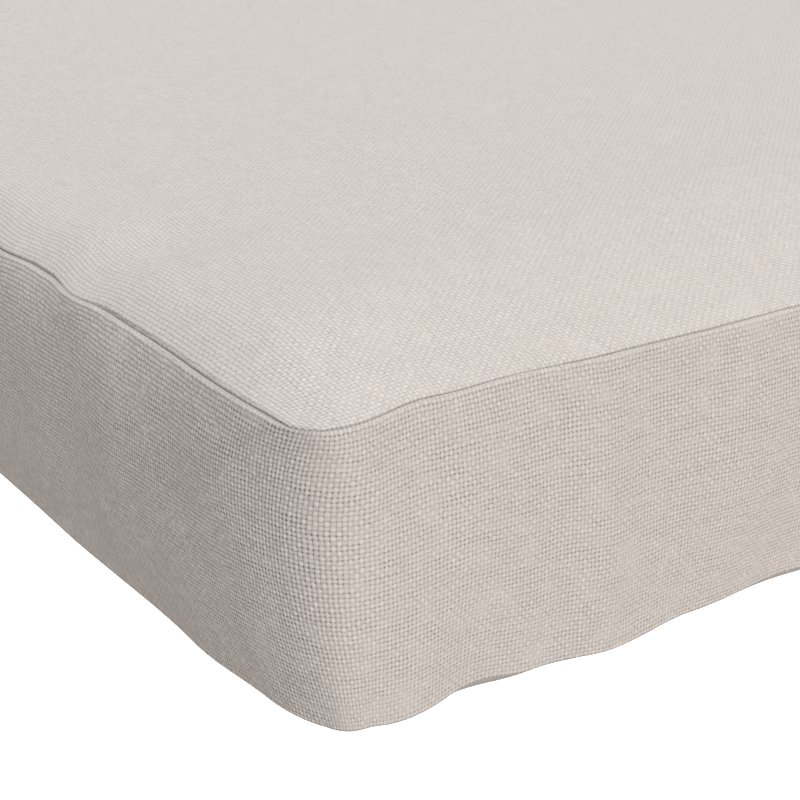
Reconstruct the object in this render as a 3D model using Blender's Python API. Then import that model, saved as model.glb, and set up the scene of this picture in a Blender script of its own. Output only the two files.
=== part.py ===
"""Box-edge bench cushion in plain-woven cloth, lying on its back panel.

A filled cloth box: a top panel, an under panel and one boxing band between them, closed by two
plain seams without piping. The filling domes the panels and rounds the band, the seams are
pulled in as creases, and the long sides are drawn in a little between the corners.

Metres, +Z up. X runs along the bench, Y across it, and the origin is the middle of the
underside. The near right corner, at +X and -Y, is the one that is shaped most closely.
"""

import math
from collections import namedtuple

import bmesh
import bpy

# Driving sizes
LENGTH = 1.219  # along X, 48 in
DEPTH = 0.508  # along Y, 20 in
SEAM_LOW = 0.0045  # height of the lower seam above the ground
SEAM_TOP = 0.0773  # height of the upper seam
HEIGHT = SEAM_LOW + SEAM_TOP  # lower and upper panels roll alike past their seams

# The panels beyond the seams, each rise with the distance over which it builds up
ROLL_WIDTH = 0.0076  # over which the under panel rolls down to the ground
EDGE_RISE, EDGE_REACH = 0.0042, 0.0045
CROWN_RISE, CROWN_REACH = 0.0055, 0.030
DOME_RISE, DOME_POWER = 0.0045, 2.2

# The band between the seams
CREASE = 0.0013  # how far each seam is pulled in behind the band
CREASE_REACH = 0.0022
BELLY = 0.0032  # how far the filling rounds the band out at half height
SEAM_RADIUS = 0.0055  # of the corners, in plan, at the upper seam
LOW_RADIUS = 0.020  # at the lower seam
BELLY_RADIUS = 0.038  # at half height
DRAWN_IN = 0.0035  # of the long sides, half way between corners
DIP_WIDTH = 1.4  # of a valley in the top panel, as a share of its fold's
PANEL_RADIUS_FADE = 0.060  # distance from the edge over which a panel's lines turn square
FOLD_FADE = 0.018  # distance from its own side over which a fold dies away

# Where the cloth is divided: distances from each corner or edge, then even steps
EDGE_STEPS = (1.5, 4, 8, 14, 22, 31, 41, 51, 61, 71, 82, 94, 108, 126)
MIDDLE_STEP = 0.046
BAND_STEPS = (1.5, 5.5, 14, 26)  # from each seam
MM = 0.001

# Soft folds and pulled places of the seams and the band. "at" runs along the side from its
# left end, as seen from outside, or back from its right end where it is negative, and reach is
# how far the fold runs to each side of that. The other columns say how far each line of the
# cloth moves, outwards or up; dip is the valley that the fold leaves in the top panel, and run
# is how far that valley runs in from the seam.
Fold = namedtuple("Fold", "side at reach top_out top_up belly low_out low_up dip run")
FOLDS = (
    Fold("right", 11, 17, 4.2, 0.0, 1.0, 0.0, 0.0, 0.0, 20),
    Fold("right", 21, 17, 0.0, 0.0, 0.6, 2.0, -1.0, 0.0, 20),
    Fold("right", 45, 14, 0.0, 0.0, 0.4, -1.0, 0.8, 0.0, 20),
    Fold("right", 53, 24, -1.3, 0.0, -0.4, 0.0, 0.0, 0.4, 20),
    Fold("right", 70, 10, 0.0, 0.0, -0.9, 0.0, 0.0, 0.0, 20),
    Fold("right", 85, 27, 0.2, 0.0, 0.7, 2.2, -1.0, 0.0, 20),
    Fold("right", 138, 30, -0.8, 0.0, -0.8, -0.9, 0.7, 0.4, 26),
    Fold("right", 214, 36, 0.9, -0.3, 1.2, 1.3, -0.9, 0.0, 30),
    Fold("right", 306, 28, -1.1, 0.3, -1.4, -1.2, 1.1, 0.8, 34),
    Fold("right", 398, 36, 0.8, 0.0, 1.1, 1.4, -0.8, 0.0, 30),
    Fold("right", -20, 20, 2.6, 0.0, 0.8, 1.6, -0.8, 0.0, 20),
    Fold("back", 20, 20, 2.6, 0.0, 0.8, 1.6, -0.9, 0.0, 20),
    Fold("back", 104, 26, -1.2, 0.4, -1.4, -1.3, 1.1, 0.9, 32),
    Fold("back", 226, 36, 0.9, 0.0, 1.1, 1.3, -0.9, 0.0, 30),
    Fold("back", 352, 30, -1.1, 0.3, -1.3, -1.4, 1.0, 0.7, 30),
    Fold("back", 488, 40, 0.8, -0.2, 1.2, 1.2, -1.0, 0.0, 30),
    Fold("back", 630, 30, -1.0, 0.3, -1.1, -1.2, 1.2, 0.8, 34),
    Fold("back", 764, 38, 0.9, 0.0, 1.2, 1.5, -0.8, 0.0, 30),
    Fold("back", 900, 28, -1.2, 0.4, -1.5, -1.3, 1.1, 0.9, 32),
    Fold("back", 1036, 36, 0.8, 0.0, 1.0, 1.2, -0.9, 0.0, 30),
    Fold("back", -92, 22, -0.9, 0.3, -1.1, -1.2, 1.0, 0.6, 28),
    Fold("back", -20, 20, 2.6, 0.0, 0.6, 1.4, -0.8, 0.0, 20),
    Fold("left", 20, 20, 2.4, 0.0, 0.8, 1.4, -0.7, 0.0, 20),
    Fold("left", 106, 26, -1.1, 0.3, -1.4, -1.2, 1.0, 0.8, 32),
    Fold("left", 202, 34, 0.9, 0.0, 1.0, 1.3, -0.9, 0.0, 30),
    Fold("left", 300, 28, -1.1, 0.4, -1.3, -1.3, 1.0, 0.8, 32),
    Fold("left", 396, 34, 0.8, 0.0, 1.1, 1.2, -0.9, 0.0, 30),
    Fold("left", -20, 20, 2.4, 0.0, 0.7, 1.5, -0.8, 0.0, 20),
    Fold("front", 20, 20, 2.6, 0.0, 0.8, 1.6, -0.9, 0.0, 20),
    Fold("front", 118, 28, -1.2, 0.3, -1.4, -1.4, 1.1, 0.9, 32),
    Fold("front", 240, 36, 0.9, 0.0, 1.1, 1.2, -0.9, 0.0, 30),
    Fold("front", 366, 30, -1.0, 0.3, -1.2, -1.3, 1.0, 0.7, 30),
    Fold("front", 494, 40, 0.9, -0.2, 1.2, 1.4, -1.0, 0.0, 30),
    Fold("front", 622, 30, -1.1, 0.3, -1.3, -1.2, 1.1, 0.8, 34),
    Fold("front", 748, 38, 0.8, 0.0, 1.1, 1.3, -0.8, 0.0, 30),
    Fold("front", 872, 28, -1.0, 0.3, -1.2, -1.1, 0.9, 0.7, 32),
    Fold("front", -228, 34, 0.8, 0.0, 1.0, 0.9, -0.6, 0.0, 30),
    Fold("front", -150, 20, 1.0, 0.0, -0.6, 0.0, 0.0, 0.7, 34),
    Fold("front", -130, 10, -1.2, 0.0, 0.5, 0.0, 0.0, 0.0, 24),
    Fold("front", -105, 12, 1.7, 0.0, -2.2, 0.0, 0.0, 1.5, 38),
    Fold("front", -79, 18, -0.8, 0.0, 1.4, -0.3, 0.0, 0.0, 24),
    Fold("front", -30, 34, 0.9, 0.0, -0.6, 0.0, 0.0, 0.0, 20),
    Fold("front", -17, 36, 0.0, 0.0, 0.0, -3.0, 0.0, 0.0, 20),
)

# The cloth, a greige plain weave
CLOTH_COLOUR = (0.620, 0.562, 0.526, 1.0)
CLOTH_ROUGHNESS = 0.92


def clear_scene():
    for thing in list(bpy.data.objects):
        bpy.data.objects.remove(thing, do_unlink=True)


def divisions(size):
    """Positions of the dividing planes along one side of the box: close together near both
    ends, then evenly spaced."""
    half = size / 2
    near = [step * MM - half for step in EDGE_STEPS]
    gap = -2 * near[-1]
    count = round(gap / MIDDLE_STEP)
    middle = [near[-1] + gap * i / count for i in range(1, count)]
    return near + middle + [-x for x in reversed(near)]


def cut_box():
    """The flat box of cloth, divided into the quads that will be shaped."""
    box = bmesh.new()
    bmesh.ops.create_cube(box, size=1)
    bmesh.ops.scale(box, vec=(LENGTH, DEPTH, HEIGHT), verts=box.verts)
    bmesh.ops.translate(box, vec=(0, 0, HEIGHT / 2), verts=box.verts)
    rows = [step * MM for step in BAND_STEPS]
    cuts = [((x, 0, 0), (1, 0, 0)) for x in divisions(LENGTH)]
    cuts += [((0, y, 0), (0, 1, 0)) for y in divisions(DEPTH)]
    cuts += [((0, 0, z), (0, 0, 1)) for z in rows + [HEIGHT / 2] + [HEIGHT - z for z in rows]]
    for point, normal in cuts:
        every = box.verts[:] + box.edges[:] + box.faces[:]
        bmesh.ops.bisect_plane(box, geom=every, plane_co=point, plane_no=normal, dist=1e-6)
    return box


def swell(distance, reach):
    """0 at a seam, near 1 once well past reach."""
    return 1 - math.exp(-max(distance, 0.0) / reach)


def bump(offset, reach):
    """1 in the middle of a fold, 0 past its reach, smooth between."""
    share = abs(offset) / reach
    return 0.5 + 0.5 * math.cos(math.pi * share) if share < 1 else 0.0


def side_places(x, y):
    """For each side: how far along it a point lies, from the side's left end seen from
    outside, and how far in from it."""
    return {
        "front": (x + LENGTH / 2, y + DEPTH / 2),
        "right": (y + DEPTH / 2, LENGTH / 2 - x),
        "back": (LENGTH / 2 - x, DEPTH / 2 - y),
        "left": (DEPTH / 2 - y, x + LENGTH / 2),
    }


OUTWARD = {"front": (0, -1), "right": (1, 0), "back": (0, 1), "left": (-1, 0)}


def round_corner(side_x, side_y, radius):
    """Distances from the two sides that meet at a corner, once that corner is an arc."""
    inset = min(side_x, side_y)
    along = max(side_x, side_y) - inset
    if along >= radius:
        return side_x, side_y
    turn = math.pi / 4 * (1 - along / radius)
    longer = inset + radius * (1 - math.sin(turn))
    shorter = inset + radius * (1 - math.cos(turn))
    return (longer, shorter) if side_x >= side_y else (shorter, longer)


def in_plan(x, y, radius):
    """A point of the box, in plan, with the corners rounded and the long sides drawn in."""
    side_x = LENGTH / 2 - abs(x)
    side_y = DEPTH / 2 - abs(y)
    inset = min(side_x, side_y)
    side_x, side_y = round_corner(side_x, side_y, radius * math.exp(-inset / PANEL_RADIUS_FADE))
    new_x = math.copysign(LENGTH / 2 - side_x, x)
    new_y = math.copysign(DEPTH / 2 - side_y, y)
    waist = (1 - (2 * new_x / LENGTH) ** 2) ** 2
    return new_x, new_y * (1 - DRAWN_IN * waist / (DEPTH / 2))


def fold_share(fold, along, width):
    """How strongly a fold is felt at a place along its side, from 0 to 1."""
    side = LENGTH if fold.side in ("front", "back") else DEPTH
    at = fold.at * MM if fold.at > 0 else side + fold.at * MM
    return bump(along - at, width * fold.reach * MM)


def folds_at(x, y, column):
    """How far the folds move a point out, as x and y, and up. column names the line of the
    cloth that moves: top, belly or low."""
    move_x = move_y = move_z = 0.0
    places = side_places(x, y)
    for fold in FOLDS:
        along, inset = places[fold.side]
        share = fold_share(fold, along, 1.0) * math.exp(-max(inset, 0) / FOLD_FADE)
        if share == 0:
            continue
        out = getattr(fold, "belly" if column == "belly" else column + "_out") * share * MM
        move_x += OUTWARD[fold.side][0] * out
        move_y += OUTWARD[fold.side][1] * out
        if column != "belly":
            move_z += getattr(fold, column + "_up") * share * MM
    return move_x, move_y, move_z


def dips_at(x, y):
    """Depth of the valleys that the folds leave in the top panel."""
    depth = 0.0
    places = side_places(x, y)
    for fold in FOLDS:
        along, inset = places[fold.side]
        share = fold_share(fold, along, DIP_WIDTH)
        depth += fold.dip * MM * share * bump(inset - fold.run * MM * 0.5, fold.run * MM)
    return depth


def dome(x, y):
    """The broad rise of a filled panel: 0 at its seams and 1 in the middle."""
    across_x = 1 - abs(2 * x / LENGTH) ** (DOME_POWER * LENGTH / DEPTH)
    across_y = 1 - abs(2 * y / DEPTH) ** DOME_POWER
    return max(across_x, 0.0) * max(across_y, 0.0)


def top_point(x, y):
    side_x = LENGTH / 2 - abs(x)
    side_y = DEPTH / 2 - abs(y)
    rise = EDGE_RISE * swell(side_x, EDGE_REACH) * swell(side_y, EDGE_REACH)
    rise += CROWN_RISE * swell(side_x, CROWN_REACH) * swell(side_y, CROWN_REACH)
    rise += DOME_RISE * dome(x, y)
    move_x, move_y, move_z = folds_at(x, y, "top")
    new_x, new_y = in_plan(x, y, SEAM_RADIUS)
    height = SEAM_TOP + rise + move_z - dips_at(x, y)
    return new_x + move_x, new_y + move_y, height


def under_point(x, y):
    side_x = LENGTH / 2 - abs(x)
    side_y = DEPTH / 2 - abs(y)
    left = max(0.0, 1 - side_x / ROLL_WIDTH) ** 2
    near = max(0.0, 1 - side_y / ROLL_WIDTH) ** 2
    lift = max(left, near)
    move_x, move_y, move_z = folds_at(x, y, "low")
    new_x, new_y = in_plan(x, y, LOW_RADIUS)
    return new_x + move_x, new_y + move_y, (SEAM_LOW + move_z) * lift


def band_point(x, y, share):
    """A point of the boxing band. share runs from 0 at the lower seam to 1 at the upper."""
    from_seam = min(share, 1 - share) * (SEAM_TOP - SEAM_LOW)
    arch = math.sin(math.pi * share)
    flat_radius = LOW_RADIUS + (SEAM_RADIUS - LOW_RADIUS) * share
    new_x, new_y = in_plan(x, y, flat_radius + (BELLY_RADIUS - flat_radius) * arch)
    low = folds_at(x, y, "low")
    top = folds_at(x, y, "top")
    belly = folds_at(x, y, "belly")
    out = CREASE * swell(from_seam, CREASE_REACH) + BELLY * arch
    # the band faces the side that it is on, and both sides at a corner
    face_x, face_y = facing(x, y)
    move_x = low[0] * (1 - share) + top[0] * share + belly[0] * arch + face_x * out
    move_y = low[1] * (1 - share) + top[1] * share + belly[1] * arch + face_y * out
    rise = (SEAM_LOW + low[2]) * (1 - share) + (SEAM_TOP + top[2]) * share
    return new_x + move_x, new_y + move_y, rise


def facing(x, y):
    """The way out of the band at a point of the box's outline, in plan."""
    side_x = LENGTH / 2 - abs(x)
    side_y = DEPTH / 2 - abs(y)
    along = max(side_x, side_y)
    turn = math.pi / 4 * max(0.0, 1 - along / BELLY_RADIUS)
    main, other = math.cos(turn), math.sin(turn)
    if side_x < side_y:
        return math.copysign(main, x), math.copysign(other, y)
    return math.copysign(other, x), math.copysign(main, y)


def shape(box):
    """Moves every point of the cut box to its place on the filled cushion."""
    tiny = 1e-6
    for vert in box.verts:
        x, y, z = vert.co
        on_rim = LENGTH / 2 - abs(x) < tiny or DEPTH / 2 - abs(y) < tiny
        if on_rim:
            vert.co = band_point(x, y, z / HEIGHT)
        elif z > HEIGHT / 2:
            vert.co = top_point(x, y)
        else:
            vert.co = under_point(x, y)


def cloth_material():
    cloth = bpy.data.materials.new("plain woven cloth")
    cloth.use_nodes = True
    surface = cloth.node_tree.nodes["Principled BSDF"]
    surface.inputs["Base Color"].default_value = CLOTH_COLOUR
    surface.inputs["Roughness"].default_value = CLOTH_ROUGHNESS
    surface.inputs["Metallic"].default_value = 0.0
    return cloth


def make_cushion():
    box = cut_box()
    shape(box)
    resting = [f for f in box.faces if all(v.co.z < 1e-7 for v in f.verts)]
    bmesh.ops.dissolve_faces(box, faces=resting)
    bmesh.ops.recalc_face_normals(box, faces=box.faces)
    mesh = bpy.data.meshes.new("cushion")
    box.to_mesh(mesh)
    box.free()
    mesh.materials.append(cloth_material())
    mesh.shade_smooth()
    mesh.set_sharp_from_angle(angle=math.radians(40))
    cushion = bpy.data.objects.new("cushion", mesh)
    bpy.context.scene.collection.objects.link(cushion)
    return cushion


def main():
    clear_scene()
    make_cushion()


main()
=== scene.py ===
"""Box-edge bench cushion in greige plain-woven cloth, in a pale studio.

The cover is one closed mesh: a top panel, an under panel and a boxing band, joined by two plain
seams. It is cut from a box, shaped as the filling shapes it, swelled by a cloth simulation that
is held at the seams, and covered by a weave that follows each cloth piece.

Metres, +Z up. X runs along the bench, Y across it, and the origin is the middle of the
underside. The near right corner, at +X and -Y, is the one that the camera sees.
"""

import math
from collections import namedtuple

import bmesh
import bpy
import numpy as np
from mathutils import Matrix, Vector


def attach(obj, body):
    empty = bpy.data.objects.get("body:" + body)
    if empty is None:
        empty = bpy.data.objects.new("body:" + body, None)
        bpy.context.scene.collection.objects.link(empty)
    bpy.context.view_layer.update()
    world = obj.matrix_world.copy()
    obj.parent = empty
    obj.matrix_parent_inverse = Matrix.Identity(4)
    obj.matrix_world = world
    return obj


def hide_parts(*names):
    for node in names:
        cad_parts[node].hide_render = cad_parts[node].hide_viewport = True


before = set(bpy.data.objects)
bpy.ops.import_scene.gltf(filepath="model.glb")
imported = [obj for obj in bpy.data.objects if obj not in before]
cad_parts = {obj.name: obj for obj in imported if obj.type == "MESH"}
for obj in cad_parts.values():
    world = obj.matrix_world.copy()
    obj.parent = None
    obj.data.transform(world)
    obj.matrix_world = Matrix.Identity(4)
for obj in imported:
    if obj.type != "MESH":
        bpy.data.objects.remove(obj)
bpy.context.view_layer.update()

bl_info = {
    "name": "Bench cushion",
    "version": (1, 0, 0),
    "blender": (4, 5, 0),
    "location": "View3D > Sidebar > Cushion",
    "description": "Makes a box-edge bench cushion in plain-woven cloth, and a studio for it",
    "category": "Add Mesh",
}

MM = 0.001
TOUCH = 1e-6  # nearer than this counts as on a seam

# How cloth leaves a seam, and how soft shapes die away
SEAM_TUCK = math.radians(40)  # how far the rolled cloth turns in under itself
ROLL_FADE = 0.010  # over which the roll's lean is lost
CORNER_FADE = 0.060  # over which a panel's lines lose the rounding of its corners
FOLD_FADE = 0.018  # over which a fold dies away from its seam
DIP_WIDTH = 1.4  # of a fold's valley in the top panel, for each width of the fold
DOME_POWER = 2.2  # the higher, the flatter the middle of the top panel
ARCH_ABOVE, ARCH_BELOW = 2.6, 1.5  # the same for the band, above and below its fullest height

# Where the cover is divided: distances in mm from each seam and corner, then growing steps
EDGE_ROWS = (0.15, 0.35, 0.65, 1.0, 1.5, 2.2, 3.3, 4.8, 6.8, 9.2)
COARSE_STEP = 9.0  # mm, the longest
BAND_ROWS = 15  # even rows of the band between those beside its seams

# How the steps start at one end of a side, in mm, and by how much they lengthen for each mm run
Steps = namedtuple("Steps", "first growth")
SEEN = Steps(2.4, 0.010)
FAR = Steps(4.0, 0.060)

# The simulated cage: its steps, its frames, how far in the seams hold the cloth still, and how
# the cloth resists the filling's pressure
CAGE_STEP = 0.010
CAGE_FRAMES = 20
SEAM_HOLD = 0.020
FILLING = {
    "quality": 6,
    "mass": 0.3,
    "tension_stiffness": 20,
    "compression_stiffness": 20,
    "shear_stiffness": 8,
    "bending_stiffness": 0.6,
    "use_pressure": True,
    "uniform_pressure_force": 4.0,
}

# Soft folds and pulled places of the seams and the band. "at" runs along the side in mm from
# its left end, as seen from outside, or back from its right end where it is negative, and reach
# is how far the fold runs to each side of that. The other columns say how far each line of the
# cloth moves, outwards or up; dip is the valley that the fold leaves in the top panel, and run
# is how far that valley runs in from the seam.
Fold = namedtuple("Fold", "side at reach top_out top_up belly low_out low_up dip run")
FOLDS = (
    Fold("right", 5, 12, 0.0, 0.0, 0.0, 3.5, 0.0, 0.0, 20),
    Fold("right", 12, 22, 4.0, 0.0, -2.5, 0.0, 0.0, 0.0, 20),
    Fold("right", 24, 20, -1.0, 0.0, -1.0, 2.0, -1.0, 0.0, 20),
    Fold("right", 46, 14, 0.0, 0.0, 1.0, -1.0, 1.0, 0.0, 20),
    Fold("right", 56, 24, -1.5, 0.0, 0.5, 1.5, 0.0, 0.5, 20),
    Fold("right", 78, 14, 0.0, 0.0, 1.5, 1.0, 0.0, 0.0, 20),
    Fold("right", 86, 26, 0.0, 0.0, -1.0, 2.5, -1.0, 0.0, 20),
    Fold("right", 120, 24, 0.0, 0.0, 1.5, 1.0, 0.0, 0.0, 20),
    Fold("right", 138, 30, -1.0, 0.0, 2.0, -1.5, 0.5, 0.5, 26),
    Fold("right", 214, 36, 0.9, -0.3, 1.2, 1.3, -0.9, 0.0, 30),
    Fold("right", 306, 28, -1.1, 0.3, -1.4, -1.2, 1.1, 0.8, 34),
    Fold("right", 398, 36, 0.8, 0.0, 1.1, 1.4, -0.8, 0.0, 30),
    Fold("right", -20, 20, 2.6, 0.0, 0.8, 1.6, -0.8, 0.0, 20),
    Fold("back", 20, 20, 2.6, 0.0, 0.8, 1.6, -0.9, 0.0, 20),
    Fold("back", 104, 26, -1.2, 0.4, -1.4, -1.3, 1.1, 0.9, 32),
    Fold("back", 226, 36, 0.9, 0.0, 1.1, 1.3, -0.9, 0.0, 30),
    Fold("back", 352, 30, -1.1, 0.3, -1.3, -1.4, 1.0, 0.7, 30),
    Fold("back", 488, 40, 0.8, -0.2, 1.2, 1.2, -1.0, 0.0, 30),
    Fold("back", 630, 30, -1.0, 0.3, -1.1, -1.2, 1.2, 0.8, 34),
    Fold("back", 764, 38, 0.9, 0.0, 1.2, 1.5, -0.8, 0.0, 30),
    Fold("back", 900, 28, -1.2, 0.4, -1.5, -1.3, 1.1, 0.9, 32),
    Fold("back", 1036, 36, 0.8, 0.0, 1.0, 1.2, -0.9, 0.0, 30),
    Fold("back", -92, 22, -0.9, 0.3, -1.1, -1.2, 1.0, 0.6, 28),
    Fold("back", -20, 20, 2.6, 0.0, 0.6, 1.4, -0.8, 0.0, 20),
    Fold("left", 20, 20, 2.4, 0.0, 0.8, 1.4, -0.7, 0.0, 20),
    Fold("left", 106, 26, -1.1, 0.3, -1.4, -1.2, 1.0, 0.8, 32),
    Fold("left", 202, 34, 0.9, 0.0, 1.0, 1.3, -0.9, 0.0, 30),
    Fold("left", 300, 28, -1.1, 0.4, -1.3, -1.3, 1.0, 0.8, 32),
    Fold("left", 396, 34, 0.8, 0.0, 1.1, 1.2, -0.9, 0.0, 30),
    Fold("left", -20, 20, 2.4, 0.0, 0.7, 1.5, -0.8, 0.0, 20),
    Fold("front", 20, 20, 2.6, 0.0, 0.8, 1.6, -0.9, 0.0, 20),
    Fold("front", 118, 28, -1.2, 0.3, -1.4, -1.4, 1.1, 0.9, 32),
    Fold("front", 240, 36, 0.9, 0.0, 1.1, 1.2, -0.9, 0.0, 30),
    Fold("front", 366, 30, -1.0, 0.3, -1.2, -1.3, 1.0, 0.7, 30),
    Fold("front", 494, 40, 0.9, -0.2, 1.2, 1.4, -1.0, 0.0, 30),
    Fold("front", 622, 30, -1.1, 0.3, -1.3, -1.2, 1.1, 0.8, 34),
    Fold("front", 748, 38, 0.8, 0.0, 1.1, 1.3, -0.8, 0.0, 30),
    Fold("front", 872, 28, -1.0, 0.3, -1.2, -1.1, 0.9, 0.7, 32),
    Fold("front", -228, 34, 0.8, 0.0, 1.0, 0.9, -0.6, 0.0, 30),
    Fold("front", -150, 20, 2.0, 0.0, -0.5, 0.0, 0.0, 0.5, 34),
    Fold("front", -140, 60, 0.0, 0.0, 0.0, -0.5, 0.0, 0.0, 24),
    Fold("front", -105, 16, 2.0, 0.0, -2.0, 0.0, 0.0, 1.5, 38),
    Fold("front", -80, 18, 0.0, 0.0, 0.5, 0.0, 0.0, 0.0, 24),
    Fold("front", -64, 64, 0.0, 0.0, 0.0, -2.0, 0.0, 0.0, 20),
    Fold("front", -30, 34, 1.0, 0.0, -1.5, 0.5, 0.0, 0.0, 20),
    Fold("front", -16, 36, 0.0, 0.0, 0.0, -4.0, 0.0, 0.0, 20),
)

# Single puffed and hollow places of the band. "at" is as for the folds, "up" is the height of
# the middle, reach and rise are how far the place runs to each side of it and up and down, and
# out is how far it stands out.
Puff = namedtuple("Puff", "side at up reach rise out")
PUFFS = (
    Puff("front", -131, 62, 15, 22, 0.7),
    Puff("front", -101, 62, 13, 20, -0.7),
    Puff("front", -73, 52, 17, 22, 0.9),
    Puff("front", -44, 46, 17, 24, -0.8),
    Puff("front", -30, 60, 22, 16, 1.0),
    Puff("front", -17, 36, 18, 30, 0.5),
    Puff("right", 30, 60, 18, 16, -0.4),
)
OUTWARD = {"front": (0, -1), "right": (1, 0), "back": (0, 1), "left": (-1, 0)}

# The studio: soft round lights that face the near right corner, and where the camera stands
Softbox = namedtuple("Softbox", "name place")
OVERHEAD = Softbox("overhead", (-0.38, 0.18, 2.93))
KEY = Softbox("key", (3.34, -0.41, 0.57))
SOFTBOX_SIZE = 1.8
LIT_PLACE = (0.4, -0.1, 0.05)
CAMERA_PLACE = (0.89565, -0.41916, 0.21475)
FLOOR_RADIUS = 12
FLOOR_GAP = 0.0004  # below the cushion, so that the two faces don't fight
HORIZON = 0.05  # half the height of the soft step from ground to sky


def length(name, description, default, **more):
    """A size in metres, as a user sets it."""
    settings = {"unit": "LENGTH", "subtype": "DISTANCE", "precision": 5, "min": 0.0}
    return bpy.props.FloatProperty(
        name=name, description=description, default=default, **(settings | more)
    )


class CushionSizes(bpy.types.PropertyGroup):
    length: length("Length", "From end seam to end seam, 48 in", 1.219)
    depth: length("Depth", "From front seam to back seam, 20 in", 0.508)
    seam_low: length("Lower seam", "Height of the lower seam above the ground", 0.0045)
    seam_top: length("Upper seam", "Height of the upper seam", 0.0768)
    roll_width: length("Roll", "Over which the under panel rolls to the ground", 0.0076)
    seam_roll: length("Seam roll", "Radius of the cloth where it rolls into a seam", 0.00045)
    crown_rise: length("Crown", "Rise of the top panel's rounded rim", 0.0088)
    crown_reach: length("Crown reach", "How far in the rim is rounded", 0.025)
    end_reach: length("Crown reach at the ends", "The same, in from the ends", 0.052)
    dome_rise: length("Dome", "Rise of the filled middle", 0.0050)
    belly: length("Belly", "How far the filling rounds out the long sides", 0.0066)
    end_belly: length("Belly of the ends", "How far it rounds out the ends", 0.0018)
    corner_belly: length("Belly of the corners", "How far it rounds out the corners", 0.0056)
    belly_reach: length("Belly reach", "Over which the belly grows from a corner", 0.100)
    fullest: bpy.props.FloatProperty(
        name="Fullest",
        description="How far up the band is fullest",
        default=0.58,
        subtype="FACTOR",
    )
    seam_radius: length("Corner at the upper seam", "Radius in plan", 0.0055)
    low_radius: length("Corner at the lower seam", "Radius in plan", 0.020)
    corner_run: length("Corner", "How far its rounding runs along a long side", 0.036)
    end_run: length("Corner at the ends", "How far its rounding runs along an end", 0.018)
    drawn_in: length("Waist", "How far the long sides are drawn in half way", 0.0035)
    swelling: length("Swelling", "The furthest that the simulated filling moves", 0.0012)


class ClothLook(bpy.types.PropertyGroup):
    warp_spacing: length("Warp spacing", "From one warp thread to the next", 0.00104)
    weft_spacing: length("Weft spacing", "From one weft thread to the next", 0.00112)
    thread: bpy.props.StringProperty(
        name="Thread", description="sRGB colour of the threads", default="D7CEC8"
    )
    # painted shade in the holes between threads: its colour, and below it how dark it is
    gap: bpy.props.StringProperty(
        name="Gap", description="sRGB colour in the holes between threads", default="6F655E"
    )
    hole_shade_depth: bpy.props.FloatProperty(
        name="Holes", description="How dark the holes look", default=0.66, subtype="FACTOR"
    )
    roughness: bpy.props.FloatProperty(
        name="Roughness", description="Of the spun yarn", default=0.92, subtype="FACTOR"
    )


class StudioLook(bpy.types.PropertyGroup):
    floor: bpy.props.StringProperty(
        name="Floor", description="sRGB colour of the floor", default="FFFFFF"
    )
    sky: bpy.props.FloatProperty(
        name="Sky", description="Brightness of the surroundings above the floor", default=0.40
    )
    ground: bpy.props.FloatProperty(
        name="Ground", description="Brightness that comes up from below", default=0.48
    )
    ground_tint: bpy.props.StringProperty(
        name="Ground tint", description="sRGB colour of what comes up from below", default="FFFAF5"
    )
    key: bpy.props.FloatProperty(
        name="Key light", description="Power of the softbox", default=46.0, unit="POWER"
    )
    overhead: bpy.props.FloatProperty(
        name="Overhead light", description="Power of the softbox", default=61.0, unit="POWER"
    )
    floor_light: bpy.props.FloatProperty(
        name="Floor light", description="Strength of the light for the floor alone", default=3.6
    )
    lens: bpy.props.FloatProperty(
        name="Lens", description="Focal length for a 36 mm wide frame", default=81.0
    )
    azimuth: bpy.props.FloatProperty(
        name="Azimuth",
        description="From the front, towards the right side",
        default=math.radians(56.42),
        subtype="ANGLE",
    )
    elevation: bpy.props.FloatProperty(
        name="Elevation",
        description="Above the horizon",
        default=math.radians(21.68),
        subtype="ANGLE",
    )


# ---- form of the filled cover ---------------------------------------------------------------


def ease(distance, reach):
    """0 at a seam, rising evenly, then levelling off to 1 at reach."""
    share = np.clip(distance / reach, 0, 1)
    return share + np.sin(math.pi * share) / math.pi


def bump(offset, reach):
    """1 in the middle of a fold, 0 past its reach, smooth between."""
    share = np.minimum(np.abs(offset) / reach, 1)
    return 0.5 + 0.5 * np.cos(math.pi * share)


def rolled(distance, radius):
    """How cloth rolls out of a seam, at a distance of cloth from it: how far it leans back over
    the seam, and how far it stands out of its own face."""
    end = radius * (math.pi / 2 + SEAM_TUCK)
    turn = np.minimum(distance / radius - SEAM_TUCK, math.pi / 2)
    lean = np.minimum(distance, end) - radius * (math.cos(SEAM_TUCK) - np.cos(turn))
    fade = np.exp(-np.maximum(distance - end, 0) / ROLL_FADE)
    return lean * fade, radius * (math.sin(SEAM_TUCK) + np.sin(turn))


def run_of(line):
    """How far along a line of points each of them lies."""
    return np.append(0, np.cumsum(np.linalg.norm(np.diff(line, axis=0), axis=1)))


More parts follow.
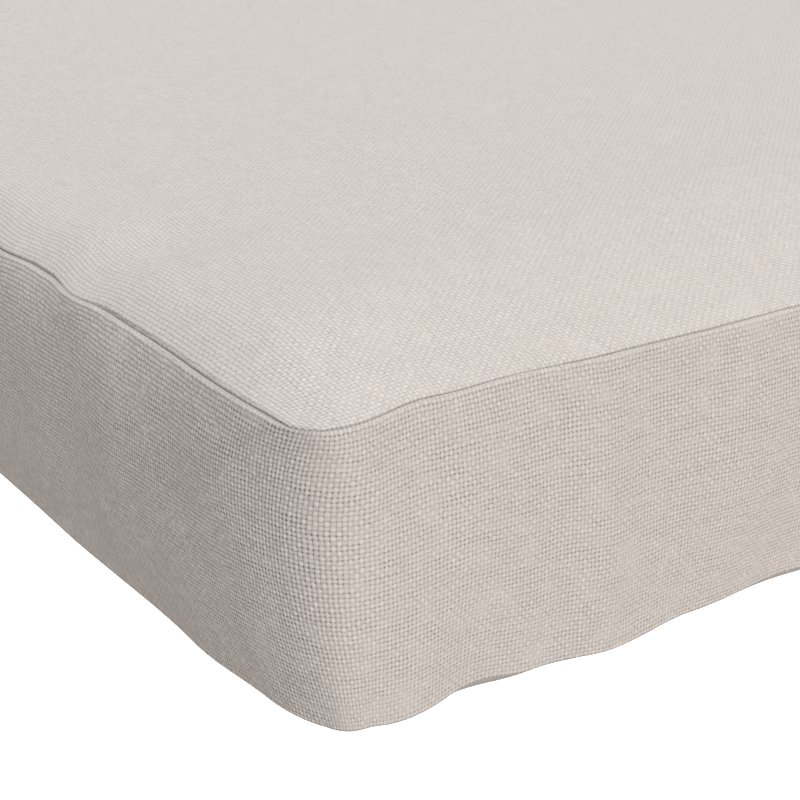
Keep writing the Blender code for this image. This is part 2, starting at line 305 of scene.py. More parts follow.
class Form:
    """Places of the cover's points, from the places of the same points on a flat box."""

    def __init__(self, sizes):
        self.s = sizes
        self.height = sizes.seam_low + sizes.seam_top

    def sides(self, x, y):
        """Distances from the nearer end and from the nearer long side."""
        return self.s.length / 2 - np.abs(x), self.s.depth / 2 - np.abs(y)

    def side_places(self, x, y):
        """For each side: how far along it a point lies, from the side's left end seen from
        outside, and how far in from it."""
        half_x, half_y = self.s.length / 2, self.s.depth / 2
        return {
            "front": (x + half_x, y + half_y),
            "right": (y + half_y, half_x - x),
            "back": (half_x - x, half_y - y),
            "left": (half_y - y, x + half_x),
        }

    def turn(self, x, y, run_x, run_y):
        """How far a rounded corner has turned at a point, from 0 on a long side to a right angle
        on an end. The corner runs run_x along the long side and run_y along the end."""
        side_x, side_y = self.sides(x, y)
        along = side_x - side_y
        before = np.clip(1 - along / run_x, 0, 1)
        after = np.clip(1 + along / run_y, 0, 1)
        return math.pi / 4 * np.where(along > 0, before, 2 - after)

    def in_plan(self, x, y, run_x, run_y):
        """A point in plan, with the corners rounded and the long sides drawn in."""
        side_x, side_y = self.sides(x, y)
        inset = np.minimum(side_x, side_y)
        fade = np.exp(-inset / CORNER_FADE)
        run_x, run_y = run_x * fade, run_y * fade
        turn = self.turn(x, y, run_x, run_y)
        off_x = inset + run_x * (1 - np.sin(turn)) + np.maximum(side_x - side_y - run_x, 0)
        off_y = inset + run_y * (1 - np.cos(turn)) + np.maximum(side_y - side_x - run_y, 0)
        new_x = np.copysign(self.s.length / 2 - off_x, x)
        new_y = np.copysign(self.s.depth / 2 - off_y, y)
        waist = (1 - (2 * new_x / self.s.length) ** 2) ** 2
        return new_x, new_y * (1 - self.s.drawn_in * waist / (self.s.depth / 2))

    def fold_share(self, fold, along, width=1.0):
        """How strongly a fold is felt at a place along its side, from 0 to 1."""
        side = self.s.length if fold.side in ("front", "back") else self.s.depth
        at = fold.at * MM if fold.at > 0 else side + fold.at * MM
        return bump(along - at, width * fold.reach * MM)

    def folds_at(self, x, y, column):
        """How far the folds move a point, as x, y and z. column names the line of the cloth
        that moves: top, belly or low."""
        move = np.zeros((3, len(x)))
        places = self.side_places(x, y)
        for fold in FOLDS:
            along, inset = places[fold.side]
            share = self.fold_share(fold, along) * np.exp(-np.maximum(inset, 0) / FOLD_FADE)
            out = fold.belly if column == "belly" else getattr(fold, column + "_out")
            move[0] += OUTWARD[fold.side][0] * out * share * MM
            move[1] += OUTWARD[fold.side][1] * out * share * MM
            if column != "belly":
                move[2] += getattr(fold, column + "_up") * share * MM
        return move

    def puffs_at(self, x, y, height):
        """How far out the puffed and hollow places of the band move it."""
        out = np.zeros(len(x))
        places = self.side_places(x, y)
        for puff in PUFFS:
            along, inset = places[puff.side]
            share = self.fold_share(puff, along) * (np.abs(inset) < TOUCH)
            out += puff.out * MM * share * bump(height - puff.up * MM, puff.rise * MM)
        return out

    def dips_at(self, x, y):
        """Depth of the valleys that the folds leave in the top panel."""
        depth = np.zeros(len(x))
        places = self.side_places(x, y)
        for fold in FOLDS:
            along, inset = places[fold.side]
            run = fold.run * MM
            share = self.fold_share(fold, along, DIP_WIDTH)
            depth += fold.dip * MM * share * bump(inset - run / 2, run)
        return depth

    def top(self, x, y):
        """The top panel."""
        side_x, side_y = self.sides(x, y)
        s = self.s
        lean, rise = rolled(np.minimum(side_x, side_y), s.seam_roll)
        rise += s.crown_rise * ease(side_x, s.end_reach) * ease(side_y, s.crown_reach)
        across_x = 1 - np.abs(2 * x / s.length) ** (DOME_POWER * s.length / s.depth)
        across_y = 1 - np.abs(2 * y / s.depth) ** DOME_POWER
        rise += s.dome_rise * across_x * across_y
        radius = s.seam_radius
        move = self.folds_at(x, y, "top") + self.facing(x, y, radius, radius) * lean
        new_x, new_y = self.in_plan(x, y, radius, radius)
        height = s.seam_top + rise + move[2] - self.dips_at(x, y)
        return np.stack([new_x + move[0], new_y + move[1], height], axis=1)

    def under(self, x, y):
        """The under panel, flat where it rests."""
        side_x, side_y = self.sides(x, y)
        lift = np.clip(1 - np.minimum(side_x, side_y) / self.s.roll_width, 0, 1) ** 2
        move = self.folds_at(x, y, "low")
        new_x, new_y = self.in_plan(x, y, self.s.low_radius, self.s.low_radius)
        height = (self.s.seam_low + move[2]) * lift
        return np.stack([new_x + move[0], new_y + move[1], height], axis=1)

    def band(self, x, y, share):
        """The boxing band. share runs from 0 at its lower seam to 1 at its upper."""
        s = self.s
        from_seam = np.minimum(share, 1 - share) * (s.seam_top - s.seam_low)
        fullest = s.fullest
        part = np.where(share > fullest, (share - fullest) / (1 - fullest), 1 - share / fullest)
        arch = 1 - part ** np.where(share > fullest, ARCH_ABOVE, ARCH_BELOW)
        radius = s.low_radius + (s.seam_radius - s.low_radius) * share
        run_x = radius + (s.corner_run - radius) * arch
        run_y = radius + (s.end_run - radius) * arch
        new_x, new_y = self.in_plan(x, y, run_x, run_y)
        low, top = self.folds_at(x, y, "low"), self.folds_at(x, y, "top")
        belly = self.folds_at(x, y, "belly")
        lean, out = rolled(from_seam, s.seam_roll)
        height = s.seam_low * (1 - share) + s.seam_top * share
        face = self.facing(x, y, run_x, run_y)
        side_x, side_y = self.sides(x, y)
        grown = ease(np.maximum(side_x, side_y), s.belly_reach)
        full = s.belly * face[1] ** 2 + s.end_belly * face[0] ** 2
        out += (s.corner_belly + (full - s.corner_belly) * grown) * arch
        out += self.puffs_at(x, y, height)
        move = low * (1 - share) + top * share + belly * arch + face * out
        rise = height + move[2] + np.where(share > 0.5, lean, -lean)
        return np.stack([new_x + move[0], new_y + move[1], rise], axis=1)

    def facing(self, x, y, run_x, run_y):
        """The way out of the nearest side, as x, y and z, turning with a rounded corner."""
        turn = self.turn(x, y, run_x, run_y)
        out_x, out_y = run_y * np.sin(turn), run_x * np.cos(turn)
        size = np.hypot(out_x, out_y)
        return np.stack([np.copysign(out_x, x) / size, np.copysign(out_y, y) / size, 0 * size])

    def lengths(self, axis, samples=3000):
        """Lengths of cloth over the top panel along an axis, as pairs of arrays: on the flat
        box, and on the filled cushion. Both are 0 in the middle."""
        half = (self.s.length if axis == 0 else self.s.depth) / 2
        flat = np.linspace(-half, half, samples)
        line = self.top(flat, 0 * flat) if axis == 0 else self.top(0 * flat, flat)
        return flat, run_of(line) - run_of(line)[-1] / 2

    def up_band(self, samples=400):
        """The same over the band, from its lower seam to its upper, by share of its height."""
        share = np.linspace(0, 1, samples)
        return share, run_of(self.band(0 * share, 0 * share - self.s.depth / 2, share))

    def around(self, samples=4000):
        """Lengths of cloth round the band, as pairs of arrays: on the flat box, and on the
        filled cushion, where the rounded corners are shorter."""
        half_x, half_y = self.s.length / 2, self.s.depth / 2
        corners = [0, 2 * half_x, 2 * half_x + 2 * half_y, 4 * half_x + 2 * half_y]
        corners.append(4 * half_x + 4 * half_y)
        flat = np.linspace(0, corners[-1], samples)
        x = np.interp(flat, corners, [-half_x, half_x, half_x, -half_x, -half_x])
        y = np.interp(flat, corners, [-half_y, -half_y, half_y, half_y, -half_y])
        real = np.zeros(samples)
        for share in (0.1, 0.5, 0.9):
            real += run_of(self.band(x, y, np.full(samples, share))) / 3
        return flat, real


# ---- mesh of the cover ----------------------------------------------------------------------


def stations(size, start, end):
    """Places of the dividing planes along one side, from 0 to size: close together at both
    ends, with longer steps between."""
    edge = [row * MM for row in EDGE_ROWS]
    inner = [0.0]
    room = size - 2 * edge[-1]
    while inner[-1] < room:
        from_start, from_end = inner[-1] / MM, (room - inner[-1]) / MM
        step = min(
            start.first + start.growth * from_start,
            end.first + end.growth * from_end,
            COARSE_STEP,
        )
        inner.append(inner[-1] + step * MM)
    inner = [edge[-1] + place * room / inner[-1] for place in inner]
    return np.array([0.0] + edge[:-1] + inner + [size - place for place in edge[-2::-1]] + [size])


def fine_places(sizes, height):
    """Places of the dividing planes along the three axes."""
    edge = [row * MM for row in EDGE_ROWS]
    middle = list(np.linspace(edge[-1], height - edge[-1], BAND_ROWS + 1))
    up = [0.0] + edge[:-1] + middle + [height - place for place in edge[-2::-1]] + [height]
    return stations(sizes.length, FAR, SEEN), stations(sizes.depth, SEEN, FAR), np.array(up)


def even_places(sizes, height):
    """The same for the coarse cage that is simulated."""
    extents = (sizes.length, sizes.depth, height)
    return [np.linspace(0, extent, round(extent / CAGE_STEP) + 1) for extent in extents]


def cut_box(sizes, planes):
    """The flat box of cloth, divided into quads by planes along the three axes, as a mesh."""
    box = bmesh.new()
    bmesh.ops.create_cube(box, size=1, matrix=Matrix.Translation((0.5, 0.5, 0.5)))
    for axis, places in enumerate(planes):
        cut = [e for e in box.edges if abs(e.verts[0].co[axis] - e.verts[1].co[axis]) > 0.5]
        bmesh.ops.subdivide_edges(box, edges=cut, cuts=len(places) - 2, use_grid_fill=True)
    for vert in box.verts:
        for axis, places in enumerate(planes):
            vert.co[axis] = places[round(vert.co[axis] * (len(places) - 1))]
    bmesh.ops.translate(box, vec=(-sizes.length / 2, -sizes.depth / 2, 0), verts=box.verts)
    bmesh.ops.recalc_face_normals(box, faces=box.faces)
    mesh = bpy.data.meshes.new("cushion_cover")
    box.to_mesh(mesh)
    box.free()
    return mesh


def points_of(mesh):
    """A mesh's points, one to a row."""
    points = np.empty(len(mesh.vertices) * 3, np.float32)
    mesh.vertices.foreach_get("co", points)
    return points.reshape(-1, 3).astype(float)


def set_points(mesh, points):
    mesh.vertices.foreach_set("co", points.astype(np.float32).ravel())
    mesh.update()


def shaped(form, flat):
    """Where each point of the flat box lies on the filled cover."""
    x, y, z = flat.T
    side_x, side_y = form.sides(x, y)
    rim = np.minimum(side_x, side_y) < TOUCH
    upper = ~rim & (z > form.height / 2)
    lower = ~rim & ~upper
    points = np.empty_like(flat)
    points[rim] = form.band(x[rim], y[rim], z[rim] / form.height)
    points[upper] = form.top(x[upper], y[upper])
    points[lower] = form.under(x[lower], y[lower])
    return points


def lay_out_cloth(mesh, form, flat):
    """The UV map "cloth", in metres of cloth: each panel by its own length and width, and the
    band by the length round it and its height. Also the attribute "from_seam", in metres, which
    is returned."""
    sizes = form.s
    layer = mesh.uv_layers.new(name="cloth")
    corners = np.empty(len(mesh.loops), np.int32)
    mesh.loops.foreach_get("vertex_index", corners)
    starts = np.empty(len(mesh.polygons), np.int32)
    mesh.polygons.foreach_get("loop_start", starts)
    totals = np.empty(len(mesh.polygons), np.int32)
    mesh.polygons.foreach_get("loop_total", totals)
    middle = np.add.reduceat(flat[corners], starts, axis=0) / totals[:, None]
    face = np.repeat(np.arange(len(starts)), totals)
    side_x, side_y = form.sides(middle[:, 0], middle[:, 1])
    x, y, z = flat[corners].T
    # the threads of a panel run straight in plan, also where its corners are rounded
    radius = np.where(z > form.height / 2, sizes.seam_radius, sizes.low_radius)
    plan = form.in_plan(x, y, radius, radius)
    uv = np.stack([np.interp(plan[axis], *form.lengths(axis)) for axis in (0, 1)], axis=1)
    places = form.side_places(x, y)
    before = {
        "front": 0,
        "right": sizes.length,
        "back": sizes.length + sizes.depth,
        "left": 2 * sizes.length + sizes.depth,
    }
    is_side = {
        "front": (side_y < TOUCH) & (middle[:, 1] < 0),
        "right": (side_x < TOUCH) & (middle[:, 0] > 0),
        "back": (side_y < TOUCH) & (middle[:, 1] > 0),
        "left": (side_x < TOUCH) & (middle[:, 0] < 0),
    }
    box_length, cloth_length = form.around()
    for side, faces in is_side.items():
        on = faces[face]
        round_it = np.interp(before[side] + places[side][0][on], box_length, cloth_length)
        up = np.interp(z[on] / form.height, *form.up_band())
        uv[on] = np.stack([round_it, up], axis=1)
    layer.uv.foreach_set("vector", uv.astype(np.float32).ravel())
    side_x, side_y = form.sides(flat[:, 0], flat[:, 1])
    edge = np.minimum(side_x, side_y)
    on_band = edge < TOUCH
    edge[on_band] = np.minimum(flat[:, 2], form.height - flat[:, 2])[on_band]
    seam = mesh.attributes.new("from_seam", "FLOAT", "POINT")
    seam.data.foreach_set("value", edge.astype(np.float32))
    return edge


# ---- swelling of the filled cover ------------------------------------------------------------


def simulated(context, form, mesh, held):
    """How far a cloth simulation under the filling's pressure moves each point of a mesh. The
    points in held keep their places."""
    cage = bpy.data.objects.new("cushion_cage", mesh)
    context.collection.objects.link(cage)
    pins = cage.vertex_groups.new(name="held")
    pins.add([int(index) for index in np.flatnonzero(held)], 1.0, "ADD")
    cloth = cage.modifiers.new("filling", "CLOTH")
    cloth.settings.vertex_group_mass = pins.name
    for name, value in FILLING.items():
        setattr(cloth.settings, name, value)
    cloth.settings.effector_weights.gravity = 0
    cloth.collision_settings.use_collision = False
    cloth.point_cache.frame_start = 1
    cloth.point_cache.frame_end = CAGE_FRAMES
    before = points_of(mesh)
    for moment in range(1, CAGE_FRAMES + 1):
        context.scene.frame_set(moment)
    filled = cage.evaluated_get(context.evaluated_depsgraph_get())
    moved = points_of(filled.data) - before
    context.scene.frame_set(1)
    bpy.data.objects.remove(cage)
    bpy.data.meshes.remove(mesh)
    return moved


def spline(places, count):
    """For places on a row of count values: the four values that each lies among, and the share
    that each of them has in a smooth curve."""
    first = np.clip(np.floor(places).astype(int), 0, count - 2)
    t = places - first
    shares = ((1 - t) ** 3, 3 * t**3 - 6 * t**2 + 4, -3 * t**3 + 3 * t**2 + 3 * t + 1, t**3)
    return [(np.clip(first + i - 1, 0, count - 1), share / 6) for i, share in enumerate(shares)]


def sampled(grid, rows, columns):
    """Values of a grid at places between its rows and columns."""
    total = 0
    for row, row_share in spline(rows, grid.shape[0]):
        for column, column_share in spline(columns, grid.shape[1]):
            total = total + (row_share * column_share)[:, None] * grid[row, column]
    return total


def swelled(context, form, flat, from_seam):
    """How far the simulated filling moves each point of the fine cover. The seams and the under
    panel stay where they are."""
    sizes = form.s
    planes = even_places(sizes, form.height)
    mesh = cut_box(sizes, planes)
    cage = points_of(mesh)
    set_points(mesh, shaped(form, cage))
    steps = np.array([places[1] for places in planes])
    start = np.array([-sizes.length / 2, -sizes.depth / 2, 0.0])
    index = np.rint((cage - start) / steps).astype(int)
    last = [len(places) - 1 for places in planes]
    rim = (index[:, 0] % last[0] == 0) | (index[:, 1] % last[1] == 0)
    held = (index[:, 2] == 0) | (rim & (index[:, 2] == last[2]))
    moved = simulated(context, form, mesh, held)
    far = np.linalg.norm(moved, axis=1, keepdims=True)
    moved *= sizes.swelling / np.hypot(sizes.swelling, far)

    volume = np.zeros((last[0] + 1, last[1] + 1, last[2] + 1, 3))
    volume[tuple(index.T)] = moved
    at = (flat - start) / steps
    out = np.zeros_like(flat)
    on_top = flat[:, 2] > form.height - TOUCH
    out[on_top] = sampled(volume[:, :, -1], at[on_top, 0], at[on_top, 1])
    for axis in (0, 1):
        for end in (0, last[axis]):
            on = np.abs(at[:, axis] - end) < TOUCH / CAGE_STEP
            wall = np.take(volume, end, axis=axis)
            out[on] = sampled(wall, at[on, 1 - axis], at[on, 2])
    near = np.clip(from_seam / SEAM_HOLD, 0, 1)
    out *= (near * near * (3 - 2 * near))[:, None]
    out[flat[:, 2] < TOUCH] = 0
    return out


# ---- cloth ----------------------------------------------------------------------------------


def linear(hexadecimal):
    """A linear RGBA colour from an sRGB hex value."""
    parts = [int(hexadecimal[i : i + 2], 16) / 255 for i in (0, 2, 4)]
    parts = [p / 12.92 if p <= 0.04045 else ((p + 0.055) / 1.055) ** 2.4 for p in parts]
    return (*parts, 1.0)


def add(tree, kind, links=None, **settings):
    """Adds a node. settings are its own options, and links gives each input a value, a socket
    or the node whose first output it takes."""
    made = tree.nodes.new(kind)
    for name, value in settings.items():
        setattr(made, name, value)
    for name, source in (links or {}).items():
        if isinstance(source, bpy.types.Node):
            source = source.outputs[0]
        if isinstance(source, bpy.types.NodeSocket):
            tree.links.new(source, made.inputs[name])
        else:
            made.inputs[name].default_value = source
    return made


def woven_cloth(look):
    """Spun polyester yarn in a plain weave, one over and one under. The eye gets matt, pale oval
    lumps of thread, and small dark holes where four threads meet, stronger in short runs along the
    weft. Shade is painted into the colour in the holes, on the thread lumps, in the seams, under
    the cushion and across the long sides. Light is painted in too, as the paler holes of the top
    panel."""
    material = bpy.data.materials.new("spun polyester, plain woven")
    material.use_nodes = True
    tree = material.node_tree
    surface = tree.nodes["Principled BSDF"]
    math_node, vector_node = "ShaderNodeMath", "ShaderNodeVectorMath"

    # the cloth measured in threads, with rows that drift a little from straight
    half = (0.5, 0.5, 0.5)
    place = add(tree, "ShaderNodeUVMap", uv_map="cloth")
    count = (1 / look.warp_spacing, 1 / look.weft_spacing, 1)
    threads = add(tree, vector_node, {0: place, 1: count}, operation="MULTIPLY")
    drift = add(tree, "ShaderNodeTexNoise", {"Vector": threads, "Scale": 0.07, "Detail": 2.0})
    drift = add(tree, vector_node, {0: drift.outputs["Color"], 1: half}, operation="SUBTRACT")
    drift = add(tree, vector_node, {0: drift, "Scale": 0.9}, operation="SCALE")
    threads = add(tree, vector_node, {0: threads, 1: drift}, operation="ADD")
    uneven = add(tree, vector_node, {0: threads, 1: (0.35, 0.35, 0.35)}, operation="MULTIPLY")
    uneven = add(tree, "ShaderNodeTexNoise", {"Vector": uneven, "Scale": 1.0, "Detail": 0.0})
    uneven = add(tree, vector_node, {0: uneven.outputs["Color"], 1: half}, operation="SUBTRACT")
    uneven = add(tree, vector_node, {0: uneven, "Scale": 0.30}, operation="SCALE")
    threads = add(tree, vector_node, {0: threads, 1: uneven}, operation="ADD")

    # which thread is on top, and how far a point is across it and along it
    cell = add(tree, vector_node, {0: threads}, operation="FLOOR")
    inside = add(tree, vector_node, {0: threads, 1: cell}, operation="SUBTRACT")
    inside = add(tree, vector_node, {0: inside, 1: half}, operation="SUBTRACT")
    inside = add(tree, vector_node, {0: inside}, operation="ABSOLUTE")
    inside = add(tree, "ShaderNodeSeparateXYZ", {0: inside})
    number = add(tree, "ShaderNodeSeparateXYZ", {0: cell})
    total = add(tree, math_node, {0: number.outputs["X"], 1: number.outputs["Y"]}, operation="ADD")
    warp_up = add(tree, math_node, {0: total, 1: 2.0}, operation="FLOORED_MODULO")
    by_x, by_y = inside.outputs["X"], inside.outputs["Y"]
    across = add(tree, "ShaderNodeMix", {"Factor": warp_up, "A": by_x, "B": by_y})
    along = add(tree, "ShaderNodeMix", {"Factor": warp_up, "A": by_y, "B": by_x})
    flank = add(tree, math_node, {0: across, 1: 2.0}, operation="MULTIPLY")
    flank = add(tree, math_node, {0: flank, 1: 2.6}, operation="POWER")
    flank = add(tree, math_node, {0: 1.0, 1: flank}, operation="SUBTRACT")
    sink = add(tree, math_node, {0: along, 1: along}, operation="MULTIPLY")
    sink = add(tree, math_node, {0: sink, 1: -2.0, 2: 1.0}, operation="MULTIPLY_ADD")
    lump = add(tree, math_node, {0: flank, 1: sink}, operation="MULTIPLY")

    # holes where four threads meet, each with its own strength of painted shade
    meeting = add(tree, vector_node, {0: threads, 1: half}, operation="ADD")
    meeting = add(tree, vector_node, {0: meeting}, operation="FLOOR")
    away = add(tree, vector_node, {0: threads, 1: meeting}, operation="DISTANCE")
    hole = {"Value": away.outputs["Value"], "From Min": 0.08, "From Max": 0.34}
    hole |= {"To Min": 1.0, "To Max": 0.0}
    hole = add(tree, "ShaderNodeMapRange", hole, interpolation_type="SMOOTHSTEP")
    chance = add(tree, "ShaderNodeTexWhiteNoise", {"Vector": meeting}, noise_dimensions="2D")
    runs = add(tree, vector_node, {0: meeting, 1: (0.16, 1.9, 1.0)}, operation="MULTIPLY")
    runs = add(tree, "ShaderNodeTexNoise", {"Vector": runs, "Scale": 1.0, "Detail": 0.0})
    strength = add(tree, math_node, {0: runs, 1: 1.6, 2: -0.45}, operation="MULTIPLY_ADD")
    strength = add(tree, math_node, {0: chance, 1: 0.55, 2: strength}, operation="MULTIPLY_ADD")
    strength = add(tree, "ShaderNodeClamp", {"Value": strength, "Min": 0.06, "Max": 1.0})
    hole = add(tree, math_node, {0: hole, 1: strength}, operation="MULTIPLY")

    # painted light and shade: light falls across the long sides and into the holes of the top
    # panel, so the painted shade of the weave is made stronger on the first, and its holes are
    # painted paler on the second
    normal = add(tree, "ShaderNodeNewGeometry")
    normal = add(tree, "ShaderNodeSeparateXYZ", {0: normal.outputs["Normal"]})
    raked = add(tree, math_node, {0: normal.outputs["Y"]}, operation="ABSOLUTE")
    raked = {"Value": raked, "From Min": 0.7, "From Max": 0.98, "To Min": 1.0}
    raked_relief_shade = add(tree, "ShaderNodeMapRange", raked | {"To Max": 2.8})
    raked_hole_shade = add(tree, "ShaderNodeMapRange", raked | {"To Max": 1.55})

    # each thread varies in colour of its own, and its spun fibres more finely; the light and shade
    # on each lump of thread is painted in too
    warp_tone = add(tree, vector_node, {0: threads, 1: (1.0, 0.11, 1.0)}, operation="MULTIPLY")
    warp_tone = add(tree, "ShaderNodeTexNoise", {"Vector": warp_tone, "Scale": 1.0, "Detail": 1.0})
    weft_tone = add(tree, vector_node, {0: threads, 1: (0.11, 1.0, 1.0)}, operation="MULTIPLY")
    weft_tone = add(tree, "ShaderNodeTexNoise", {"Vector": weft_tone, "Scale": 1.0, "Detail": 1.0})
    tone_and_shade = add(tree, "ShaderNodeMix", {"Factor": warp_up, "A": warp_tone, "B": weft_tone})
    fibre = add(tree, "ShaderNodeTexNoise", {"Vector": threads, "Scale": 2.8, "Detail": 3.0})
    lumpy = add(tree, "ShaderNodeTexWhiteNoise", {"Vector": cell}, noise_dimensions="2D")
    tone_and_shade = add(tree, math_node, {0: tone_and_shade, 1: 0.16, 2: 0.94}, operation="MULTIPLY_ADD")
    grain_and_lump_shade = add(tree, math_node, {0: fibre, 1: 0.30, 2: -0.25}, operation="MULTIPLY_ADD")
    grain_and_lump_shade = add(tree, math_node, {0: lumpy, 1: 0.08, 2: grain_and_lump_shade}, operation="MULTIPLY_ADD")
    # painted shade: each lump of thread is lighter on its crown and darker on its flanks
    grain_and_lump_shade = add(tree, math_node, {0: lump, 1: 0.12, 2: grain_and_lump_shade}, operation="MULTIPLY_ADD")
    tone_and_shade = add(tree, math_node, {0: grain_and_lump_shade, 1: raked_relief_shade, 2: tone_and_shade}, operation="MULTIPLY_ADD")
    # the warp lies a little deeper than the weft, and the shade this gives it is painted in,
    # darker by a fixed amount
    tone_and_shade = add(tree, math_node, {0: warp_up, 1: -0.085, 2: tone_and_shade}, operation="MULTIPLY_ADD")

    # painted light: the holes are paler where the cloth faces up, as light falls into them there
    facing = {"Value": normal.outputs["Z"], "From Min": 0.2, "From Max": 0.95}
    facing |= {"To Min": look.hole_shade_depth, "To Max": 0.45 * look.hole_shade_depth}
    facing = add(tree, "ShaderNodeMapRange", facing)
    depth = add(tree, math_node, {0: hole, 1: facing}, operation="MULTIPLY")
    depth = add(tree, math_node, {0: depth, 1: raked_hole_shade}, operation="MULTIPLY")

    # painted shade: the stitches draw the cloth into the seams' crease, and the shade there is
    # painted, darker within 0.6 mm of each seam
    seam = add(tree, "ShaderNodeAttribute", attribute_name="from_seam")
    seam = {"Value": seam.outputs["Fac"], "From Min": 0.15 * MM, "From Max": 0.6 * MM}
    seam |= {"To Min": 0.74, "To Max": 1.0}
    seam = add(tree, "ShaderNodeMapRange", seam, interpolation_type="SMOOTHSTEP")
    tone_and_shade = add(tree, math_node, {0: tone_and_shade, 1: seam}, operation="MULTIPLY")
    # painted shade: what faces down is darkened, as the floor that the cushion lies on shades it
    below = {"Value": normal.outputs["Z"], "From Min": -0.8, "From Max": -0.15}
    below |= {"To Min": 0.62, "To Max": 1.0}
    below = add(tree, "ShaderNodeMapRange", below)
    tone_and_shade = add(tree, math_node, {0: tone_and_shade, 1: below}, operation="MULTIPLY")
    yarn = {0: linear(look.thread)[:3], "Scale": tone_and_shade}
    yarn = add(tree, vector_node, yarn, operation="SCALE")
    # painted shade: the holes are mixed towards their dark colour, as deep as depth says
    colour = {"Factor": depth, 6: yarn, 7: linear(look.gap)}
    colour = add(tree, "ShaderNodeMix", colour, data_type="RGBA")
    tree.links.new(colour.outputs[2], surface.inputs["Base Color"])
    # the threads stand about a fifth of their spacing above the holes
    height = add(tree, math_node, {0: hole, 1: -0.5, 2: lump}, operation="MULTIPLY_ADD")
    relief = {"Strength": 0.75, "Distance": 0.22 * look.weft_spacing, "Height": height}
    relief = add(tree, "ShaderNodeBump", relief)
    tree.links.new(relief.outputs[0], surface.inputs["Normal"])
    surface.inputs["Roughness"].default_value = look.roughness
    surface.inputs["Specular IOR Level"].default_value = 0.25
    surface.inputs["Sheen Weight"].default_value = 0.12
    surface.inputs["Sheen Roughness"].default_value = 0.5
    return material


# ---- operators ------------------------------------------------------------------------------


class MakeCover(bpy.types.Operator):
    """Makes the sewn and filled cover"""

    bl_idname = "cushion.make_cover"
    bl_label = "Make cover"

    def execute(self, context):
        sizes = context.scene.cushion_sizes
        form = Form(sizes)
        mesh = cut_box(sizes, fine_places(sizes, form.height))
        flat = points_of(mesh)
        from_seam = lay_out_cloth(mesh, form, flat)
        points = shaped(form, flat)
        points += swelled(context, form, flat, from_seam)
        set_points(mesh, points)
        cover = bpy.data.objects.new("cushion_cover", mesh)
        context.collection.objects.link(cover)
        mesh.shade_smooth()
        mesh.materials.append(woven_cloth(context.scene.cloth_look))
        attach(cover, "root")
        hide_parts("cushion")
        return {"FINISHED"}


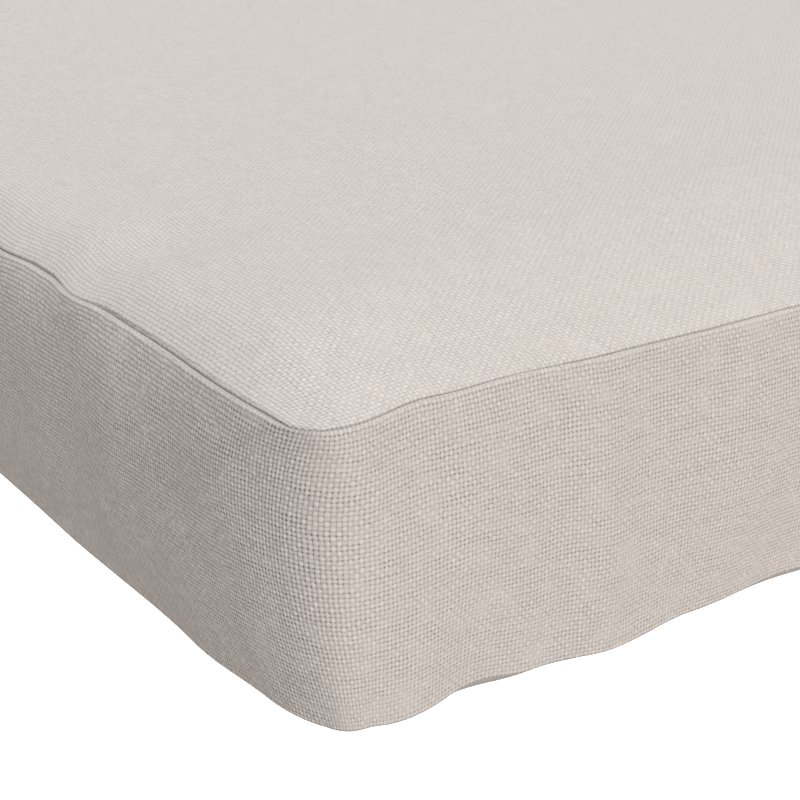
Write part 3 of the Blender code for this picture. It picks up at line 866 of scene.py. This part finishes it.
class MakeStudio(bpy.types.Operator):
    """Makes the pale floor, the soft lights and the camera"""

    bl_idname = "cushion.make_studio"
    bl_label = "Make studio"

    def execute(self, context):
        look = context.scene.studio_look
        floor_mesh = bpy.data.meshes.new("studio_floor")
        disc = bmesh.new()
        bmesh.ops.create_circle(disc, cap_ends=True, segments=64, radius=FLOOR_RADIUS)
        bmesh.ops.translate(disc, vec=(0, 0, -FLOOR_GAP), verts=disc.verts)
        disc.to_mesh(floor_mesh)
        disc.free()
        floor = bpy.data.objects.new("studio_floor", floor_mesh)
        context.collection.objects.link(floor)
        paint = bpy.data.materials.new("matt paper, rolled out")
        paint.use_nodes = True
        surface = paint.node_tree.nodes["Principled BSDF"]
        surface.inputs["Base Color"].default_value = linear(look.floor)
        surface.inputs["Roughness"].default_value = 0.9
        surface.inputs["Specular IOR Level"].default_value = 0.0
        floor_mesh.materials.append(paint)
        # its light on the cushion comes from the world instead, which is even
        floor.visible_diffuse = False
        floor.visible_shadow = False

        world = bpy.data.worlds.new("pale surroundings")
        world.use_nodes = True
        tree = world.node_tree
        way = add(tree, "ShaderNodeTexCoord")
        way = add(tree, "ShaderNodeSeparateXYZ", {0: way.outputs["Generated"]})
        above = {"Value": way.outputs["Z"], "From Min": -HORIZON, "From Max": HORIZON}
        above = add(tree, "ShaderNodeMapRange", above)
        ground = [look.ground * part for part in linear(look.ground_tint)[:3]]
        glow = {"Factor": above, 6: (*ground, 1), 7: (look.sky, look.sky, look.sky, 1)}
        glow = add(tree, "ShaderNodeMix", glow, data_type="RGBA")
        # past the floor's edge the picture stays as white as the floor
        ray = add(tree, "ShaderNodeLightPath")
        glow = {"Factor": ray.outputs["Is Camera Ray"], 6: glow.outputs[2], 7: linear(look.floor)}
        glow = add(tree, "ShaderNodeMix", glow, data_type="RGBA")
        tree.nodes["Background"].inputs["Strength"].default_value = 1.0
        tree.links.new(glow.outputs[2], tree.nodes["Background"].inputs["Color"])
        context.scene.world = world
        context.scene.view_settings.view_transform = "Standard"

        overhead = self.softbox(context, OVERHEAD, look.overhead)
        key = self.softbox(context, KEY, look.key)
        even = bpy.data.lights.new("floor light", "SUN")
        even.energy = look.floor_light
        even = bpy.data.objects.new("floor light", even)
        context.collection.objects.link(even)
        # only the floor takes the even light, and the cushion throws no shadow, as in a cut-out
        only_floor = bpy.data.collections.new("floor, for the light links")
        only_floor.objects.link(floor)
        even.light_linking.receiver_collection = only_floor
        for light in (overhead, key, even):
            light.light_linking.blocker_collection = only_floor

        lens = bpy.data.cameras.new("camera")
        lens.lens = look.lens
        lens.sensor_width = 36
        lens.clip_start = 0.01
        camera = bpy.data.objects.new("camera", lens)
        context.collection.objects.link(camera)
        camera.location = CAMERA_PLACE
        camera.rotation_mode = "QUATERNION"
        level = math.cos(look.elevation)
        back_x, back_y = math.sin(look.azimuth) * level, -math.cos(look.azimuth) * level
        back = Vector((back_x, back_y, math.sin(look.elevation)))
        camera.rotation_quaternion = (-back).to_track_quat("-Z", "Y")
        context.scene.camera = camera
        return {"FINISHED"}

    def softbox(self, context, box, power):
        """A soft round light that faces the near right corner."""
        data = bpy.data.lights.new(box.name, "AREA")
        data.shape = "DISK"
        data.size = SOFTBOX_SIZE
        data.energy = power
        light = bpy.data.objects.new(box.name, data)
        context.collection.objects.link(light)
        light.location = box.place
        light.rotation_mode = "QUATERNION"
        way = Vector(LIT_PLACE) - Vector(box.place)
        light.rotation_quaternion = way.to_track_quat("-Z", "Y")
        return light


class CushionPanel(bpy.types.Panel):
    """Lists the sizes, looks and operators in the sidebar"""

    bl_idname = "VIEW3D_PT_cushion"
    bl_label = "Bench cushion"
    bl_space_type = "VIEW_3D"
    bl_region_type = "UI"
    bl_category = "Cushion"

    def draw(self, context):
        for group, operator in (
            (context.scene.cushion_sizes, MakeCover),
            (context.scene.cloth_look, None),
            (context.scene.studio_look, MakeStudio),
        ):
            column = self.layout.column()
            for name in group.__annotations__:
                column.prop(group, name)
            if operator:
                column.operator(operator.bl_idname)


CLASSES = (CushionSizes, ClothLook, StudioLook, MakeCover, MakeStudio, CushionPanel)


def register():
    for made in CLASSES:
        bpy.utils.register_class(made)
    bpy.types.Scene.cushion_sizes = bpy.props.PointerProperty(type=CushionSizes)
    bpy.types.Scene.cloth_look = bpy.props.PointerProperty(type=ClothLook)
    bpy.types.Scene.studio_look = bpy.props.PointerProperty(type=StudioLook)


def unregister():
    del bpy.types.Scene.cushion_sizes, bpy.types.Scene.cloth_look, bpy.types.Scene.studio_look
    for made in reversed(CLASSES):
        bpy.utils.unregister_class(made)


def main():
    register()
    bpy.ops.cushion.make_cover()
    bpy.ops.cushion.make_studio()


if __name__ == "__main__":
    main()
